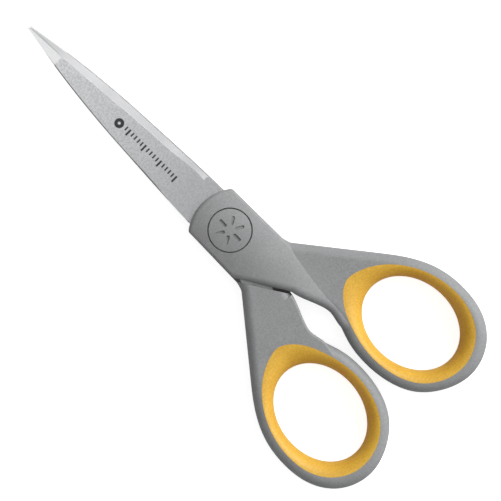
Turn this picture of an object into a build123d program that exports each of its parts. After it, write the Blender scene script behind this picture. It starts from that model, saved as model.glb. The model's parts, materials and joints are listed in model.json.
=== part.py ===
"""Small office scissors, 5 inch class: two blades moulded into ring handles with soft liners.

Frame: the pivot axis is Z, the tips point along +Y, and the scissors lie closed on z = 0.
The front half is the one on top. The rear half is the front half turned 180 degrees about
the line x = 0, z = MID_Z that runs along Y, so every outline here is drawn once, for the
front half, whose ring is on the +X side. All sizes are in millimetres.
"""
import math
import os

from build123d import *

# ---------------------------------------------------------------- driving dimensions
THICKNESS = 9.0              # whole thickness, crown to crown and ring face to ring face
MID_Z = THICKNESS / 2        # plane between the two blades
BLADE_T = 1.3                # blade sheet
BLADE_GAP = 0.15             # running gap between the blades, filled by the blade washer
TIP_Y = 65.9                 # pivot to tip

BOSS_HALF_WIDTH = 7.05       # moulded boss over the pivot
BOSS_NOSE_Y = 8.9            # middle of the boss's front edge
BOSS_NOSE_R = 11.5           # radius of that edge in plan
BOSS_EDGE_R = 0.85           # rounding of the boss's upper edge
BOSS_CORNER_R = 1.0          # its corners in plan
STRIP_EDGE_R = 1.5           # rounding of the strip's upper edge
CROWN_R = 22.0               # the boss and strip are crowned with this radius
CROWN_TILT = 0.3             # and sink by this many degrees towards the rings

RING_START_Y = -24.0         # from here the ring's upper face climbs evenly
RING_START_Z = 8.22
RING_SLOPE = 0.0203          # to reach THICKNESS near the ring's end
ARM_BEND_R = 286.0           # ahead of that it bends down towards the boss
RING_EDGE_R = 2.3            # rounding of the arm's and ring's edges
PAD_EDGE_R = 0.5             # rounding of the arm's inner edge, near the crotch, on the other side
EDGE_OVERLAP = 0.14          # the strip and that stretch stand this far proud of the arm's inner edge

HOLE_CENTRE = (14.6, -44.3)  # finger opening
HOLE_SEMI = (9.63, 12.25)    # its half width and half length
HOLE_TILT = 5.5              # its lower end leans outwards, degrees
LINER_SINK = 0.03            # the liner's surface ends this far below the ring's
LINER_FLARE = 1.05           # and flares just past the liner's outline
WEB_HALF_T = 1.3             # half thickness of the hard web that keys into the liner
WEB_COVER = 1.2              # liner over the web's inner edge

BEVEL_END_Y = 12.3           # the ground bevel stops here, ahead of the boss
TIP_FACET_Y = 55.3           # the thinned tip starts here
TIP_FACET_DROP = 0.55        # thickness taken off at the very tip
SPINE_CHAMFER = 0.25
EDGE_LAND = 0.12             # thickness left at the cutting edge
EDGE_INSET = 0.3             # cutting edge stays this far inside the other blade's spine

BLADE_HOLE_R = 2.5           # pivot hole in both blades
SHOULDER_R = 2.0             # screw shoulder
RUNNING = 0.03               # radial running clearance on the shoulder
THREAD_R = 1.5
THREAD_END = 1.1             # screw's tip
NUT_FLOOR = 0.85             # the nut's blind hole stops here
FIT = 0.02                   # radial clearance of parts that sit still in one another
CAP_R = 4.9
CAP_SINK = 0.06              # the cap's face is this far below the boss's
CAP_SEAT_R = 5.2             # upper, wide part of the recess in each boss
CAP_SEAT_DEPTH = 1.3
POCKET_R = 4.3               # lower, narrow part of the recess, down to the blade
HEAD_R = 3.6                 # screw head
PETAL_LENGTH = 1.4           # the cap's six slots, between the centres of their round ends
PETAL_WIDTH = 0.75
PETAL_RADIUS = 2.3           # their distance from the pivot axis
PETAL_DEPTH = 0.6            # their floor below THICKNESS

# ---------------------------------------------------------------- heights that follow
FRONT_IN = MID_Z + BLADE_GAP / 2       # inner face of the front blade and boss
FRONT_OUT = FRONT_IN + BLADE_T         # outer face of the front blade
REAR_IN = THICKNESS - FRONT_IN
REAR_OUT = THICKNESS - FRONT_OUT
POCKET_TOP = THICKNESS - CAP_SEAT_DEPTH
BUSH_FLANGE_T = 0.3
SPRING_RISE = 0.5                      # free height of the spring washer in the stack
HEAD_UNDER = FRONT_OUT + BUSH_FLANGE_T + SPRING_RISE
HEAD_T = 0.85

TURN_AXIS = Axis((0, 0, MID_Z), (0, 1, 0))


def to_rear(shape):
    """The same shape on the rear half."""
    return shape.rotate(TURN_AXIS, 180)


def column(radius, low, high):
    """Round column on the pivot axis."""
    return Pos(0, 0, low) * Cylinder(radius, high - low, align=(Align.CENTER, Align.CENTER, Align.MIN))


def ring(outer, inner, low, high):
    return column(outer, low, high) - column(inner, low - 1, high + 1)


def prism(face_edges, low, high):
    """Solid over a closed chain of edges drawn in the XY plane."""
    return Pos(0, 0, low) * extrude(make_face(face_edges), high - low)


# ---------------------------------------------------------------- blades
# Half width of the closed pair of blades at a few heights: (y, half width).
BLADE_SILHOUETTE = [(65.0, 0.6), (60.0, 1.42), (54.0, 2.36), (46.0, 3.32), (38.0, 4.05),
                    (28.0, 4.63), (18.0, 5.16), (8.0, 5.52), (-3.0, 5.6)]
# Width of the ground bevel at some heights.
BEVEL_SECTIONS = [(69.0, 0.2), (65.0, 0.35), (60.0, 0.87), (55.0, 1.4), (50.0, 1.65), (44.0, 1.78),
                  (36.0, 1.73), (28.0, 1.6), (20.0, 1.38), (BEVEL_END_Y, 1.28)]
# The tip's rounded end: its spine side, its furthest point and its edge side, in X.
TIP_SPINE_X, TIP_POINT_X, TIP_EDGE_X = -0.57, -0.36, -0.08
TIP_ROUND = 0.4              # length of that end


def half_width(y):
    """Half width of the closed blades at y, between the given heights."""
    rows = BLADE_SILHOUETTE
    for (y0, w0), (y1, w1) in zip(rows, rows[1:]):
        if y >= y1:
            return max(0.1, w1 + (w0 - w1) * (y - y1) / (y0 - y1))
    return rows[-1][1]


def blade_plan():
    """Outline of the front blade with its tang: spine at -X, cutting edge at +X."""
    spine = Spline([(-w, y) for y, w in reversed(BLADE_SILHOUETTE)])
    heel = (5.6 - EDGE_INSET, -3.0)
    edge = Spline([(w - EDGE_INSET, y) for y, w in BLADE_SILHOUETTE[:-1]] + [heel])
    shoulder_y = TIP_Y - TIP_ROUND
    round_end = [(TIP_SPINE_X, shoulder_y), (TIP_POINT_X, TIP_Y), (TIP_EDGE_X, shoulder_y)]
    tip = Spline([spine @ 1] + round_end + [edge @ 0])
    tang = Spline([heel, (6.2, -9.0), (8.0, -15.0), (9.8, -20.0)])
    tang_end = ThreePointArc(tang @ 1, (8.6, -23.2), (5.2, -21.8))
    tang_back = Spline([tang_end @ 1, (1.6, -15.0), (-2.4, -9.0), spine @ 0])
    return [spine, tip, edge, tang, tang_end, tang_back]


def lofted_bar(sections):
    """Bar through closed polygons; each is (y, [(x, z), ...])."""
    loops = [Polyline([Vector(x, y, z) for x, z in corners], close=True) for y, corners in sections]
    return Solid.make_loft([Wire(loop.edges()) for loop in loops], ruled=False)


def bevel_cutter():
    """Bar that grinds the outer face down to the cutting edge."""
    sections = []
    for y, width in BEVEL_SECTIONS:
        edge_x = half_width(y) - EDGE_INSET
        slope = (BLADE_T - EDGE_LAND) / width
        right, top = edge_x + 1.0, FRONT_OUT + 0.5
        corners = [(edge_x - width - 0.5 / slope, top), (right, FRONT_IN + EDGE_LAND - slope), (right, top)]
        sections.append((y, corners))
    return lofted_bar(sections)


def spine_cutter():
    """Bar that breaks the sharp outer corner of the spine."""
    sections, c = [], SPINE_CHAMFER
    for y, w in [(67.0, 0.3)] + BLADE_SILHOUETTE[:-1]:
        left, top = -w - 0.5, FRONT_OUT + 0.5
        sections.append((y, [(left, top), (left, FRONT_OUT - c - 0.5), (-w + c + 0.5, top)]))
    return lofted_bar(sections)


def tip_thinner():
    """Wedge that thins the outer face towards the tip."""
    drop = math.degrees(math.atan2(TIP_FACET_DROP, TIP_Y - TIP_FACET_Y))
    block = Box(10, 20, 4, align=(Align.CENTER, Align.MIN, Align.MIN))
    return Pos(0, TIP_FACET_Y, FRONT_OUT) * Rot(-drop, 0, 0) * block


def blade():
    """Front blade, ground, thinned at the tip and with moulding keys in its tang."""
    sheet = prism(blade_plan(), FRONT_IN, FRONT_OUT)
    sheet = sheet - bevel_cutter() - spine_cutter() - tip_thinner()
    sheet -= column(BLADE_HOLE_R, FRONT_IN - 1, FRONT_OUT + 1)
    for x, y in ((2.4, -12.5), (6.0, -18.0)):
        sheet -= Pos(x, y, MID_Z) * Cylinder(1.25, 8)
    return sheet


# ---------------------------------------------------------------- handles
RING_OUTER = [(20.96, -28.0), (25.35, -34.1), (28.15, -40.6), (28.9, -47.0), (27.75, -54.0),
              (23.9, -59.5), (16.0, -62.3), (9.2, -60.3), (4.15, -56.0), (1.45, -50.0),
              (0.65, -43.6), (1.35, -37.4), (2.7, -33.2), (3.3, -29.8), (2.75, -27.0), (1.55, -24.0),
              (0.3, -20.3)]
INNER_EDGE = 12                        # from this point RING_OUTER runs along the arm's inner edge
ARM_SHOULDER = (7.3, -9.3)             # upper end of the step wall
ARM_WAIST = (8.15, -12.0)
CROTCH = (0.12, -19.9)                 # the two halves' inner edges cross here
WALL_FOOT = RING_OUTER[-1]             # lower end of the step wall
INNER_LEAN = (-0.3, 1)                 # direction of the inner edge there
ARM_ROOT_Y = -6.0
STRIP_HEEL = (-7.05, -8.3)             # the boss's left side ends here
LINER_OUTLINE = [(12.4, -26.8), (18.6, -29.5), (23.7, -35.2), (26.3, -41.6), (26.8, -47.9), (24.9, -54.3),
                 (18.8, -59.2), (12.2, -59.2), (6.3, -55.3), (3.3, -48.9), (2.75, -42.3), (4.4, -34.9),
                 (7.5, -29.2)]


def ring_top(y):
    """Height of the ring's upper face."""
    return RING_START_Z + RING_SLOPE * (RING_START_Y - y)


def arm_plan():
    """Arm and ring, continued straight under the boss as far as ARM_ROOT_Y."""
    root_side = Line((ARM_SHOULDER[0] - 0.15, ARM_ROOT_Y), ARM_SHOULDER)
    shoulder = Spline([ARM_SHOULDER, (7.55, -10.6), ARM_WAIST], tangents=[root_side % 1, (0.77, -0.93)])
    outer = Line(ARM_WAIST, RING_OUTER[0])
    rim = Spline(RING_OUTER, tangents=[outer % 1, INNER_LEAN])
    inner_x = WALL_FOOT[0] + (ARM_ROOT_Y - WALL_FOOT[1]) * INNER_LEAN[0] / INNER_LEAN[1]
    return [root_side, shoulder, outer, rim, Polyline([WALL_FOOT, (inner_x, ARM_ROOT_Y), root_side @ 0])]


def beyond_wall():
    """What is on the boss's side of the step wall, where the other half's strip lies."""
    (x0, y0), (x1, y1) = WALL_FOOT, ARM_SHOULDER
    dx, dy = x1 - x0, y1 - y0
    near, far = (x0 - dx, y0 - dy), (x1 + dx, y1 + dy)
    corners = [near, far, (far[0] - 30, far[1]), (near[0] - 30, near[1])]
    return prism(Polyline(corners, close=True).edges(), -1, THICKNESS + 1)


def arm_flank():
    """Solid between the arm's upper and lower faces, which are flat and then close in under the boss."""
    ahead, behind = 8.0, -70.0
    run = ahead - RING_START_Y
    nose_z = RING_START_Z - RING_SLOPE * run - run**2 / (2 * ARM_BEND_R)
    start, end = (RING_START_Y, RING_START_Z), (ahead, nose_z)
    low_start, low_end = (RING_START_Y, THICKNESS - RING_START_Z), (ahead, THICKNESS - nose_z)
    upper = TangentArc(start, end, tangent=(1, -RING_SLOPE))
    lower = TangentArc(low_start, low_end, tangent=(1, RING_SLOPE))
    high = ring_top(behind)
    tail = Polyline([start, (behind, high), (behind, THICKNESS - high), low_start])
    side = Plane.YZ.offset(-20) * make_face([upper, Line(upper @ 1, lower @ 1), lower, tail])
    return extrude(side, 60)


def is_rim(edge):
    """True for edges round the upper or lower face, and not those across it or upright."""
    start, end = edge @ 0, edge @ 1
    crosses = abs(start.Y - end.Y) < 1e-6
    return abs((edge % 0.5).Z) < 0.5 and not crosses


def arm():
    body = prism(arm_plan(), -1, THICKNESS + 1) & arm_flank()
    return fillet([e for e in body.edges() if is_rim(e)], RING_EDGE_R) - beyond_wall()


def inner_edge(start):
    """The arm's inner edge from the crotch down, a hair outside it, then turning into the arm."""
    points = [(x - EDGE_OVERLAP, y) for x, y in reversed(RING_OUTER[INNER_EDGE:-1])]
    return Spline([start] + points + [(2.95, -36.5), (3.9, -41.0)])


def pad():
    """Sharper stretch of the arm's inner edge, on the side away from the strip."""
    edge = inner_edge((0.3, -20.42))
    rest = Polyline([edge @ 1, (6.0, -41.0), (6.0, -20.0), edge @ 0])
    body = prism([edge, rest], -1, MID_Z) & arm_flank()
    rims = [e for e in body.edges() if e.center().Z < 1.5 and e.center().X < 3.5 and e.length > 10]
    return fillet(rims, PAD_EDGE_R)


def strip_plan():
    """Boss and the crowned strip that runs from it, over the arm, along the inner edge."""
    side_y = BOSS_NOSE_Y - BOSS_NOSE_R + math.sqrt(BOSS_NOSE_R**2 - BOSS_HALF_WIDTH**2)
    left, right = (-BOSS_HALF_WIDTH, side_y), (BOSS_HALF_WIDTH, side_y)
    inner = inner_edge(CROTCH)
    under_arm = Polyline([inner @ 1, (6.0, -41.0), (7.4, -30.0), (7.3, -9.0), right])
    nose = ThreePointArc(left, (0, BOSS_NOSE_Y), right)
    plan = make_face([nose, Polyline([left, STRIP_HEEL, CROTCH]), inner, under_arm])
    corners = [v for v in plan.vertices() if v.Y > 0 and abs(v.X) < 7.2]
    return fillet(corners, BOSS_CORNER_R)


def crown(drop=0.0):
    """Cylinder under the crowned face of the boss and strip; it touches THICKNESS at the boss's nose."""
    middle = Pos(0, BOSS_NOSE_Y, THICKNESS - CROWN_R - drop)
    return middle * Rot(90 + CROWN_TILT, 0, 0) * Cylinder(CROWN_R, 120)


def upper_rim(body):
    """Edges round the crowned face."""
    return [e for e in body.edges() if abs((e % 0.5).Z) < 0.5 and (e @ 0.5).Z > 7]


def strip():
    """Boss and strip, with a tighter rounding round the boss than along the strip."""
    body = extrude(Pos(0, 0, FRONT_IN) * strip_plan(), THICKNESS) & crown()
    inward = [e for e in upper_rim(body) if (e @ 0.5).Y < -9 and (e @ 0.5).X < 3.4]
    body = fillet(inward, STRIP_EDGE_R)
    boss = [e for e in upper_rim(body) if (e @ 0.5).Y > -8.8]
    return fillet([e for e in boss if abs((e @ 0.5).X) > 6.5 or (e @ 0.5).Y > 5], BOSS_EDGE_R)


def hole_plan(grow=0.0):
    """Finger opening, as an ellipse."""
    outline = Ellipse(HOLE_SEMI[0] + grow, HOLE_SEMI[1] + grow)
    return Pos(HOLE_CENTRE) * Rot(0, 0, HOLE_TILT) * outline


def liner_outline():
    return make_face([Spline(LINER_OUTLINE, periodic=True)])


def pivot_recess():
    return column(CAP_SEAT_R, POCKET_TOP, THICKNESS + 1) + column(POCKET_R, FRONT_IN - 1, THICKNESS + 1)


def liner_web():
    """Hard web of the ring that reaches into the liner all the way round."""
    plan = liner_outline() - hole_plan(WEB_COVER)
    return extrude(Pos(0, 0, MID_Z) * plan, WEB_HALF_T, both=True)


def handle(front_blade, web):
    """Front handle, moulded round its blade."""
    body = arm() + pad() + strip()
    body -= extrude(Pos(0, 0, -1) * liner_outline(), THICKNESS + 2) - web
    return body - pivot_recess() - front_blade


def flare():
    """Solid that rolls the liner's surface over, from the opening's waist to its outline."""
    sections, count = [], 24
    rim = Spline(LINER_OUTLINE, periodic=True)
    starts = [rim @ (i / count) for i in range(count)]
    for angle in (0, 18, 36, 52, 66, 78, 90):
        blend = (1 - math.cos(math.radians(angle))) * LINER_FLARE
        rise = math.sin(math.radians(angle))
        points = []
        for outer in starts:
            x, y = on_hole(outer.X, outer.Y)
            x, y = x + blend * (outer.X - x), y + blend * (outer.Y - y)
            points.append(Vector(x, y, MID_Z + rise * (ring_top(y) - LINER_SINK - MID_Z)))
        sections.append(Wire(Spline(points, periodic=True).edges()))
    return Solid.make_loft(sections, ruled=False)


def on_hole(x, y):
    """Point of the opening's ellipse seen from its centre in the direction of (x, y)."""
    turn = math.radians(HOLE_TILT)
    dx, dy = x - HOLE_CENTRE[0], y - HOLE_CENTRE[1]
    u, v = dx * math.cos(turn) + dy * math.sin(turn), dy * math.cos(turn) - dx * math.sin(turn)
    scale = 1 / math.hypot(u / HOLE_SEMI[0], v / HOLE_SEMI[1])
    return HOLE_CENTRE[0] + dx * scale, HOLE_CENTRE[1] + dy * scale


def liner_slab():
    """Slab between the planes that the liner's upper and lower surfaces end at."""
    near, far, sink = -20.0, -66.0, LINER_SINK + 0.01
    high, low = ring_top(near) - sink, ring_top(far) - sink
    corners = [(near, high), (far, low), (far, THICKNESS - low), (near, THICKNESS - high)]
    return extrude(Plane.YZ * make_face(Polyline(corners, close=True).edges()), 60, both=True)


def liner(web):
    """Soft liner of the front ring, moulded over the handle's web."""
    block = extrude(liner_outline(), THICKNESS + 1) & liner_slab()
    upper = flare()
    lower = mirror(upper, Plane.XY.offset(MID_Z))
    return block - upper - lower - web


# ---------------------------------------------------------------- pivot
def nut():
    """Round nut let into the rear boss; its spigot fills the rear blade's hole."""
    body = column(CAP_R, 0, CAP_SEAT_DEPTH) + column(POCKET_R - FIT, 0, REAR_OUT)
    body = chamfer(body.edges().group_by(Axis.Z)[0], 0.25)
    body += column(BLADE_HOLE_R - FIT, REAR_OUT - 0.1, REAR_IN - 0.02)
    body -= column(THREAD_R, NUT_FLOOR, REAR_IN + 1)
    for x in (-2.9, 2.9):
        body -= Pos(x, 0, 0) * Cylinder(0.7, 1.3)
    return body


def screw():
    """Shoulder screw: head over the spring, shoulder in the bush, thread in the nut."""
    body = column(HEAD_R, HEAD_UNDER, HEAD_UNDER + HEAD_T)
    body = fillet(body.edges().group_by(Axis.Z)[-1], 0.3)
    body += column(SHOULDER_R, REAR_IN - 0.02, HEAD_UNDER + 0.1)
    body += column(THREAD_R - FIT, THREAD_END, REAR_IN)
    body = chamfer(body.edges().group_by(Axis.Z)[0], 0.25)
    hexagon = extrude(Pos(0, 0, HEAD_UNDER + HEAD_T) * RegularPolygon(1.25, 6), -0.6)
    return body - hexagon


def bush():
    """Flanged bush pressed into the front blade."""
    flange = column(HEAD_R, FRONT_OUT, FRONT_OUT + BUSH_FLANGE_T)
    sleeve = column(BLADE_HOLE_R - 0.01, FRONT_IN + 0.02, FRONT_OUT + 0.1)
    return flange + sleeve - column(SHOULDER_R + RUNNING, FRONT_IN - 1, FRONT_OUT + 1)


def spring():
    """Conical spring washer between the bush's flange and the screw's head."""
    low = FRONT_OUT + BUSH_FLANGE_T + 0.02
    top = HEAD_UNDER
    inner, outer, t = SHOULDER_R + 0.1, HEAD_R - 0.15, 0.22
    corners = [(inner, 0, top - t), (outer, 0, low), (outer, 0, low + t), (inner, 0, top)]
    section = Polyline(corners, close=True)
    return revolve(make_face(section.edges()), Axis.Z)


def blade_washer():
    """Slip washer that keeps the blades apart at the pivot."""
    return ring(4.5, SHOULDER_R + 0.1, REAR_IN, FRONT_IN - 0.02)


def cap():
    """Cover let into the front boss, crowned with it, with a plain petal relief."""
    top = column(CAP_R, POCKET_TOP, THICKNESS) & crown(CAP_SINK)
    skirt = ring(POCKET_R - FIT, 3.9, POCKET_TOP - 1.2, POCKET_TOP + 0.1)
    slot = SlotCenterToCenter(PETAL_LENGTH, PETAL_WIDTH, rotation=90)
    petal = extrude(Pos(0, PETAL_RADIUS, THICKNESS - PETAL_DEPTH) * slot, 2)
    body = top + skirt
    for i in range(6):
        body -= Rot(0, 0, 60 * i) * petal
    return body


def main():
    os.makedirs("parts", exist_ok=True)
    web = liner_web()
    front_blade = blade()
    front_handle = handle(front_blade, web)
    front_grip = liner(web)
    nodes = {
        "front_blade": front_blade,
        "front_handle": front_handle,
        "front_grip": front_grip,
        "rear_blade": to_rear(front_blade),
        "rear_handle": to_rear(front_handle),
        "rear_grip": to_rear(front_grip),
        "pivot_nut": nut(),
        "pivot_screw": screw(),
        "pivot_bush": bush(),
        "spring_washer": spring(),
        "blade_washer": blade_washer(),
        "pivot_cap": cap(),
    }
    for name, shape in nodes.items():
        export_step(shape, f"parts/{name}.step")


if __name__ == "__main__":
    main()
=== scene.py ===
"""Looks of the small office scissors: materials, printed marks, floor, light and camera.

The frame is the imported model's, in metres: the pivot axis is Z, the tips point along +Y and
the scissors lie on z = 0. MM turns the millimetres used below into metres.
"""
import json
import math

import bpy
from mathutils import Matrix, Vector


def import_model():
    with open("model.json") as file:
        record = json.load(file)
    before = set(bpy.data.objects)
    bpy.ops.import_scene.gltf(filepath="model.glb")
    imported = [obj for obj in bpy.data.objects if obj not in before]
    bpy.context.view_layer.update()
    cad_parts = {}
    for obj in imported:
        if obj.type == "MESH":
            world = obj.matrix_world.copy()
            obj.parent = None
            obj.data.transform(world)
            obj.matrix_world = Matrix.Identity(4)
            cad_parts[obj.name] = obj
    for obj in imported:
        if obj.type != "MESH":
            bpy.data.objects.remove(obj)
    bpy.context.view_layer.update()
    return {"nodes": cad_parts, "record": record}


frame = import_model()

MM = 0.001


# ---------------------------------------------------------------- node helpers
class Nodes:
    """A small wrapper that adds and links shader nodes."""

    def __init__(self, name):
        self.material = bpy.data.materials.new(name)
        self.material.use_nodes = True
        self.tree = self.material.node_tree
        self.tree.nodes.clear()
        self.out = self.tree.nodes.new("ShaderNodeOutputMaterial")
        self.shader = self.tree.nodes.new("ShaderNodeBsdfPrincipled")
        self.tree.links.new(self.shader.outputs[0], self.out.inputs["Surface"])
        spot = self.tree.nodes.new("ShaderNodeTexCoord")
        self.place, self.normal = spot.outputs["Object"], spot.outputs["Normal"]

    def link(self, source, target):
        self.tree.links.new(source, target)
        return target

    def put(self, socket, value):
        """Links value into socket if it is an output, else sets it."""
        if isinstance(value, bpy.types.NodeSocket):
            self.link(value, socket)
        else:
            socket.default_value = value

    def math(self, kind, a, b=0.0, c=0.0, clamp=False):
        node = self.tree.nodes.new("ShaderNodeMath")
        node.operation = kind
        node.use_clamp = clamp
        for socket, value in zip(node.inputs, (a, b, c)):
            self.put(socket, value)
        return node.outputs[0]

    def axes(self):
        """X, Y and Z in the model's frame, in millimetres."""
        scale = self.tree.nodes.new("ShaderNodeVectorMath")
        scale.operation = "SCALE"
        scale.inputs["Scale"].default_value = 1 / MM
        self.link(self.place, scale.inputs[0])
        split = self.tree.nodes.new("ShaderNodeSeparateXYZ")
        self.link(scale.outputs[0], split.inputs[0])
        return split.outputs

    def flatness(self):
        """1 on level faces, 0 on upright ones."""
        split = self.tree.nodes.new("ShaderNodeSeparateXYZ")
        self.link(self.normal, split.inputs[0])
        return self.math("ABSOLUTE", split.outputs["Z"])

    def noise(self, per_mm, stretch=(1, 1, 1), detail=2.0, rough=0.5):
        """Noise with that many features a millimetre."""
        mapping = self.tree.nodes.new("ShaderNodeMapping")
        mapping.inputs["Scale"].default_value = [s / MM for s in stretch]
        self.link(self.place, mapping.inputs["Vector"])
        node = self.tree.nodes.new("ShaderNodeTexNoise")
        node.inputs["Scale"].default_value = per_mm
        node.inputs["Detail"].default_value = detail
        node.inputs["Roughness"].default_value = rough
        self.link(mapping.outputs[0], node.inputs["Vector"])
        return node.outputs["Fac"]

    def span(self, value, low, high, out_low=0.0, out_high=1.0):
        """Maps low..high onto out_low..out_high, clamped."""
        node = self.tree.nodes.new("ShaderNodeMapRange")
        for socket, v in zip(node.inputs, (value, low, high, out_low, out_high)):
            self.put(socket, v)
        return node.outputs[0]

    def mix(self, factor, a, b):
        node = self.tree.nodes.new("ShaderNodeMix")
        node.data_type = "RGBA"
        self.put(node.inputs[0], factor)
        for socket, colour in ((node.inputs[6], a), (node.inputs[7], b)):
            self.put(socket, colour if isinstance(colour, bpy.types.NodeSocket) else (*colour, 1.0))
        return node.outputs[2]

    def bump(self, height, depth, distance_mm):
        node = self.tree.nodes.new("ShaderNodeBump")
        node.inputs["Strength"].default_value = depth
        node.inputs["Distance"].default_value = distance_mm * MM
        self.link(height, node.inputs["Height"])
        return self.link(node.outputs[0], self.shader.inputs["Normal"])


# ---------------------------------------------------------------- moulded materials
GRAIN = 2.6                  # grains a millimetre that show at arm's length
FINE_GRAIN = 7.0             # and those that show close up
# Darkest and lightest tone of each mottled colour.
GREY = (0.28, 0.282, 0.284), (0.378, 0.38, 0.382)
NATURAL = (0.78, 0.78, 0.75), (0.86, 0.86, 0.83)
YELLOW = (0.76, 0.41, 0.04), (0.95, 0.575, 0.073)


def plastic(name, dark, light):
    """Fine-textured moulding, with faint flow clouds."""
    n = Nodes(name)
    cloud = n.noise(0.12, detail=3)
    speckle = n.noise(GRAIN, detail=2)
    grain = n.noise(FINE_GRAIN, detail=3, rough=0.6)
    tone = n.math("ADD", n.math("MULTIPLY", cloud, 0.3), n.math("MULTIPLY", speckle, 0.7))
    colour = n.mix(n.span(tone, 0.32, 0.68), dark, light)
    n.put(n.shader.inputs["Base Color"], colour)
    n.put(n.shader.inputs["Roughness"], n.span(grain, 0.2, 0.8, 0.46, 0.6))
    n.shader.inputs["Specular IOR Level"].default_value = 0.45
    n.bump(n.math("ADD", grain, n.math("MULTIPLY", speckle, 0.8)), 0.4, 0.02)
    return n.material


def rubber():
    """Warm yellow soft liner with a fine moulded grain."""
    n = Nodes("liner_yellow")
    cloud = n.noise(0.15, detail=3)
    speckle = n.noise(GRAIN, detail=2)
    grain = n.noise(FINE_GRAIN, detail=2)
    tone = n.math("ADD", n.math("MULTIPLY", cloud, 0.4), n.math("MULTIPLY", speckle, 0.6))
    colour = n.mix(n.span(tone, 0.34, 0.66), *YELLOW)
    n.put(n.shader.inputs["Base Color"], colour)
    n.put(n.shader.inputs["Roughness"], n.span(grain, 0.2, 0.8, 0.42, 0.55))
    n.bump(n.math("ADD", grain, speckle), 0.3, 0.015)
    return n.material


# ---------------------------------------------------------------- blade steel
# Places on the front blade, in millimetres; the rear blade is the same turned over.
MID_Z = 4.5
FACE_DEPTH = 1.375           # outer face's distance from the middle plane
EDGE_DEPTH = 0.1             # nothing is ground nearer to it than this
FACET_Y = 55.3               # the thinned tip starts here
BEVEL_X, BEVEL_Y = 0.4, 56.0         # the bevel lies right of this point
BEVEL_LEAN = 0.05            # and of a line from it, that leans by so much towards the spine
FACE_REFLECTION_FADE = 12.0, 55.0       # painted reflection: the face gets paler over this length, towards the tip
BEVEL_REFLECTION_FADE = 42.0, 60.0      # painted reflection: the bevel gets paler over this length, towards the tip
HEEL_FADE = 26.0, 14.0       # and over this one, towards its heel

# The printed scale, on the front face only.
SCALE_FROM, SCALE_TO = 17.0, 33.6
SCALE_RIGHT = 0.0            # the ticks' right ends
FIRST_TICK = 0.15            # first tick, from SCALE_FROM
PITCH, FIFTH = 1.0, 5.0      # distance between ticks, and between the longer ones
TICK_WIDTH, TICK_LENGTH = 0.36, 1.1
FIFTH_WIDTH, FIFTH_LENGTH = 0.45, 1.75
DOT_X, DOT_Y = SCALE_RIGHT - 0.85, SCALE_TO + 1.75
DOT_OUTER, DOT_INNER = 1.15, 0.35
INK = 0.03, 0.03, 0.032


def blade_areas(n, y, across, depth):
    """Masks of the ground bevel, of the thinned tip's flat and of the back edge's chamfer, which takes
    painted shade.
    """
    lean = n.math("MULTIPLY", n.math("SUBTRACT", y, BEVEL_Y), BEVEL_LEAN)
    bevel_from = n.math("SUBTRACT", BEVEL_X, lean)
    right_of = n.span(n.math("SUBTRACT", across, bevel_from), -0.05, 0.0)
    left_of = n.math("SUBTRACT", 1.0, right_of)
    below_face = n.span(depth, FACE_DEPTH - 0.015, FACE_DEPTH - 0.005, 1.0, 0.0)
    sunk = n.math("MULTIPLY", below_face, n.span(depth, EDGE_DEPTH, EDGE_DEPTH + 0.05))
    tip = n.span(y, FACET_Y - 0.02, FACET_Y + 0.03)
    level = n.flatness()
    facet = n.math("MULTIPLY", n.math("MULTIPLY", tip, left_of), n.span(level, 0.9, 0.97))
    chamfer = n.math("MULTIPLY", n.math("MULTIPLY", sunk, left_of), n.math("SUBTRACT", 1.0, tip))
    # the sloping faces of the chamfer along the spine, where shade is painted
    spine_shade = n.math("MULTIPLY", chamfer, n.span(level, 0.3, 0.5))
    return n.math("MULTIPLY", sunk, right_of), facet, spine_shade


def blade_colour(n, y, brushed, ground, blast, areas):
    """Tones of the satin face, the ground bevel, the polished tip and the back edge, with painted
    light: face and bevel pale towards the tip and the tip's facet near-white as painted reflection, the
    back edge's chamfer dark as painted shade.
    """
    bevel, facet, spine_shade = areas
    cloud = n.noise(0.1, detail=2)
    # painted reflection: the face's colour pales towards the tip
    face = n.mix(n.span(y, *FACE_REFLECTION_FADE), (0.66, 0.665, 0.67), (0.97, 0.975, 0.98))
    face = n.mix(n.math("MULTIPLY", n.span(brushed, 0.35, 0.65), 0.12), face, (0.95, 0.95, 0.95))
    face = n.mix(n.math("MULTIPLY", n.span(cloud, 0.3, 0.7), 0.08), face, (0.40, 0.40, 0.41))
    face = n.mix(n.math("MULTIPLY", n.span(blast, 0.36, 0.64), 0.5), face, (0.46, 0.46, 0.47))
    # painted reflection: the bevel's colour pales towards the tip
    cut = n.mix(n.span(y, *BEVEL_REFLECTION_FADE), (0.36, 0.36, 0.365), (0.58, 0.58, 0.585))
    cut = n.mix(n.span(y, *HEEL_FADE), cut, (0.55, 0.55, 0.555))
    cut = n.mix(n.math("MULTIPLY", n.span(ground, 0.3, 0.7), 0.15), cut, (0.7, 0.7, 0.7))
    # painted reflection: the polished tip's facet near-white
    colour = n.mix(facet, n.mix(bevel, face, cut), (0.98, 0.98, 0.98))
    # painted shade: the spine's chamfer dark
    return n.mix(spine_shade, colour, (0.18, 0.18, 0.185))


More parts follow.
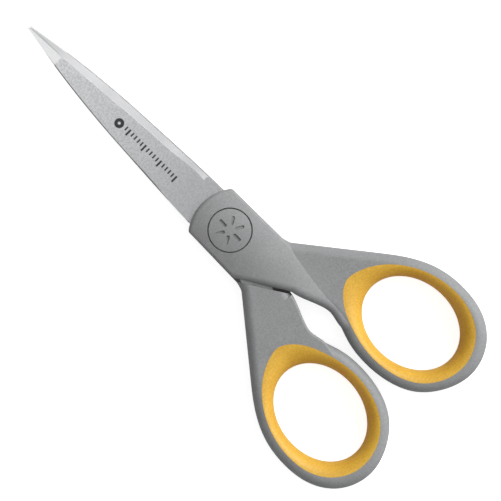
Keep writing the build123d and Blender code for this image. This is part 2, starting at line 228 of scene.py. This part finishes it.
def steel():
    """Satin blade steel with a ground bevel, a polished tip and a printed millimetre scale."""
    n = Nodes("blade_satin")
    x, y, z = n.axes()
    up = n.math("SUBTRACT", z, MID_Z)
    across = n.math("MULTIPLY", x, n.math("SIGN", up))
    areas = blade_areas(n, y, across, n.math("ABSOLUTE", up))
    bevel, facet, spine_shade = areas

    brushed = n.noise(5.0, stretch=(1, 0.06, 1), detail=4, rough=0.6)
    ground = n.noise(5.0, stretch=(0.12, 1, 1), detail=3, rough=0.6)
    blast = n.noise(GRAIN, detail=2)
    colour = blade_colour(n, y, brushed, ground, blast, areas)
    printed = printed_scale(n, x, y, up)
    n.put(n.shader.inputs["Base Color"], n.mix(printed, colour, INK))

    dull = n.math("ADD", n.math("MULTIPLY", bevel, 0.6), n.math("MULTIPLY", facet, 0.8))
    bare = n.math("SUBTRACT", 1.0, printed)
    n.put(n.shader.inputs["Metallic"], n.math("MULTIPLY", n.math("SUBTRACT", 1.0, dull), bare))
    grain = n.span(brushed, 0.2, 0.8, 0.3, 0.4)
    rough = n.math("ADD", grain, n.math("MULTIPLY", bevel, 0.06))
    n.put(n.shader.inputs["Roughness"], n.math("SUBTRACT", rough, n.math("MULTIPLY", facet, 0.08)))
    relief = n.math("ADD", n.math("MULTIPLY", brushed, 0.5), n.math("MULTIPLY", blast, 0.5))
    n.bump(n.math("ADD", relief, n.math("MULTIPLY", ground, bevel)), 0.12, 0.01)
    return n.material


def printed_scale(n, x, y, up):
    """Mask of millimetre ticks, longer at every fifth, and of a ring dot past their end."""
    within = n.math("MULTIPLY", n.math("GREATER_THAN", y, SCALE_FROM), n.math("LESS_THAN", y, SCALE_TO))
    within = n.math("MULTIPLY", n.math("LESS_THAN", x, SCALE_RIGHT), within)
    start = n.math("SUBTRACT", y, SCALE_FROM + FIRST_TICK)
    ticks = []
    for pitch, width, length in ((PITCH, TICK_WIDTH, TICK_LENGTH), (FIFTH, FIFTH_WIDTH, FIFTH_LENGTH)):
        lines = n.math("LESS_THAN", n.math("FLOORED_MODULO", start, pitch), width)
        ticks.append(n.math("MULTIPLY", lines, n.math("GREATER_THAN", x, SCALE_RIGHT - length)))
    ticks = n.math("MULTIPLY", n.math("MAXIMUM", *ticks), within)
    dx, dy = n.math("SUBTRACT", x, DOT_X), n.math("SUBTRACT", y, DOT_Y)
    reach = n.math("SQRT", n.math("ADD", n.math("MULTIPLY", dx, dx), n.math("MULTIPLY", dy, dy)))
    in_dot, past_hole = n.math("LESS_THAN", reach, DOT_OUTER), n.math("GREATER_THAN", reach, DOT_INNER)
    dot = n.math("MULTIPLY", in_dot, past_hole)
    on_front = n.math("GREATER_THAN", up, FACE_DEPTH - 0.01)
    return n.math("MULTIPLY", n.math("MAXIMUM", ticks, dot), on_front)


# ---------------------------------------------------------------- pivot metals and assignment
def turned(name, colour, rough):
    """Small turned metal part."""
    n = Nodes(name)
    grain = n.noise(8.0, detail=2)
    n.put(n.shader.inputs["Base Color"], n.mix(grain, [c * 0.9 for c in colour], colour))
    n.shader.inputs["Metallic"].default_value = 1.0
    n.put(n.shader.inputs["Roughness"], n.span(grain, 0.2, 0.8, rough, rough + 0.12))
    return n.material


MATERIALS = {
    "blade_steel": steel(),
    "handle_plastic": plastic("handle_grey", *GREY),
    "liner_rubber": rubber(),
    "pivot_steel": turned("pivot_steel_turned", (0.62, 0.62, 0.63), 0.28),
    "bush_brass": turned("bush_brass_turned", (0.75, 0.55, 0.25), 0.3),
    "washer_plastic": plastic("washer_natural", *NATURAL),
    "cap_plastic": plastic("cap_grey", *GREY),
}
for row in frame["record"]["subparts"]:
    node = frame["nodes"][row["node"]]
    node.data.materials.clear()
    node.data.materials.append(MATERIALS[row["material_slot"]])


# ---------------------------------------------------------------- floor, light and camera
FLOOR_HALF = 3.0             # metres
FLOOR_GAP = 0.02 * MM        # under the scissors
FLOOR_GLOW = 0.85            # seen by the camera only

WORLD_BASE, WORLD_LIFT = 0.05, 0.88        # its even strength, and what its bright side adds
WORLD_SIDE = -30, 15         # azimuth and elevation of that side
LIGHT_DISTANCE, LIGHT_SIDE = 1.2, 0.8      # metres
LIGHTS = {                   # azimuth, elevation, watts
    "key": (-5, 38, 11.0),
    "fill": (180, 10, 2.2),
    "top": (90, 75, 1.2),
}

CAMERA_HEIGHT = 0.8          # above its target, metres
VIEW_SIDE = 0.1150           # width of the picture at the target, metres
VIEW_TURN = -44.6            # degrees; it puts the tips towards the upper left
VIEW_CENTRE = 0.08, -6.57, 5.0       # the target, millimetres
SENSOR = 36.0                # millimetres


def direction(azimuth, elevation):
    """Unit vector; azimuth is measured from +X towards +Y, both in degrees."""
    a, e = math.radians(azimuth), math.radians(elevation)
    return Vector((math.cos(a) * math.cos(e), math.sin(a) * math.cos(e), math.sin(e)))


def floor():
    """Pale sheet; its glow is for the camera only, so it doesn't light the scissors from below."""
    mesh = bpy.data.meshes.new("floor")
    h = FLOOR_HALF
    mesh.from_pydata([(-h, -h, 0), (h, -h, 0), (h, h, 0), (-h, h, 0)], [], [(0, 1, 2, 3)])
    obj = bpy.data.objects.new("floor", mesh)
    bpy.context.scene.collection.objects.link(obj)
    obj.location.z = -FLOOR_GAP
    n = Nodes("floor_white")
    cloud = n.noise(0.01)
    n.put(n.shader.inputs["Base Color"], n.mix(cloud, (0.7, 0.7, 0.7), (0.74, 0.74, 0.74)))
    n.shader.inputs["Roughness"].default_value = 0.9
    n.shader.inputs["Specular IOR Level"].default_value = 0.0
    n.shader.inputs["Emission Color"].default_value = (1, 1, 1, 1)
    path = n.tree.nodes.new("ShaderNodeLightPath")
    glow = n.math("MULTIPLY", path.outputs["Is Camera Ray"], FLOOR_GLOW)
    n.put(n.shader.inputs["Emission Strength"], glow)
    mesh.materials.append(n.material)


def softbox(name, azimuth, elevation, power):
    """Square lamp aimed at the pivot."""
    data = bpy.data.lights.new(name, "AREA")
    data.shape = "RECTANGLE"
    data.size = data.size_y = LIGHT_SIDE
    data.energy = power
    obj = bpy.data.objects.new(name, data)
    bpy.context.scene.collection.objects.link(obj)
    where = direction(azimuth, elevation) * LIGHT_DISTANCE
    obj.matrix_world = Matrix.Translation(where) @ where.to_track_quat("Z", "Y").to_matrix().to_4x4()


def world():
    """Tent of light: an even base, brighter towards one side. The camera sees it as plain white."""
    w = bpy.data.worlds.new("studio")
    bpy.context.scene.world = w
    w.use_nodes = True
    nodes, links = w.node_tree.nodes, w.node_tree.links
    dot = nodes.new("ShaderNodeVectorMath")
    dot.operation = "DOT_PRODUCT"
    dot.inputs[1].default_value = direction(*WORLD_SIDE)
    links.new(nodes.new("ShaderNodeTexCoord").outputs["Generated"], dot.inputs[0])
    level = nodes.new("ShaderNodeMapRange")
    for socket, value in zip(level.inputs, (0.0, 0.0, 1.0, WORLD_BASE, WORLD_BASE + WORLD_LIFT)):
        socket.default_value = value
    links.new(dot.outputs["Value"], level.inputs[0])
    seen = nodes.new("ShaderNodeMix")
    seen.data_type = "FLOAT"
    links.new(nodes.new("ShaderNodeLightPath").outputs["Is Camera Ray"], seen.inputs[0])
    links.new(level.outputs[0], seen.inputs[2])
    seen.inputs[3].default_value = 1.0
    back = nodes["Background"]
    back.inputs["Color"].default_value = (0.97, 0.985, 1.0, 1.0)
    links.new(seen.outputs[0], back.inputs["Strength"])


def camera():
    """Straight down, from so far that the view is nearly parallel."""
    data = bpy.data.cameras.new("camera")
    obj = bpy.data.objects.new("camera", data)
    bpy.context.scene.collection.objects.link(obj)
    data.sensor_width = SENSOR
    data.lens = SENSOR * CAMERA_HEIGHT / VIEW_SIDE
    data.clip_start, data.clip_end = 0.01, 20.0
    where = Vector(VIEW_CENTRE) * MM + Vector((0, 0, CAMERA_HEIGHT))
    turn = Matrix.Rotation(math.radians(VIEW_TURN), 4, "Z")
    obj.matrix_world = Matrix.Translation(where) @ turn
    bpy.context.scene.camera = obj


floor()
world()
for name, aim_and_power in LIGHTS.items():
    softbox(name, *aim_and_power)
bpy.context.scene.view_settings.view_transform = "Standard"
camera()
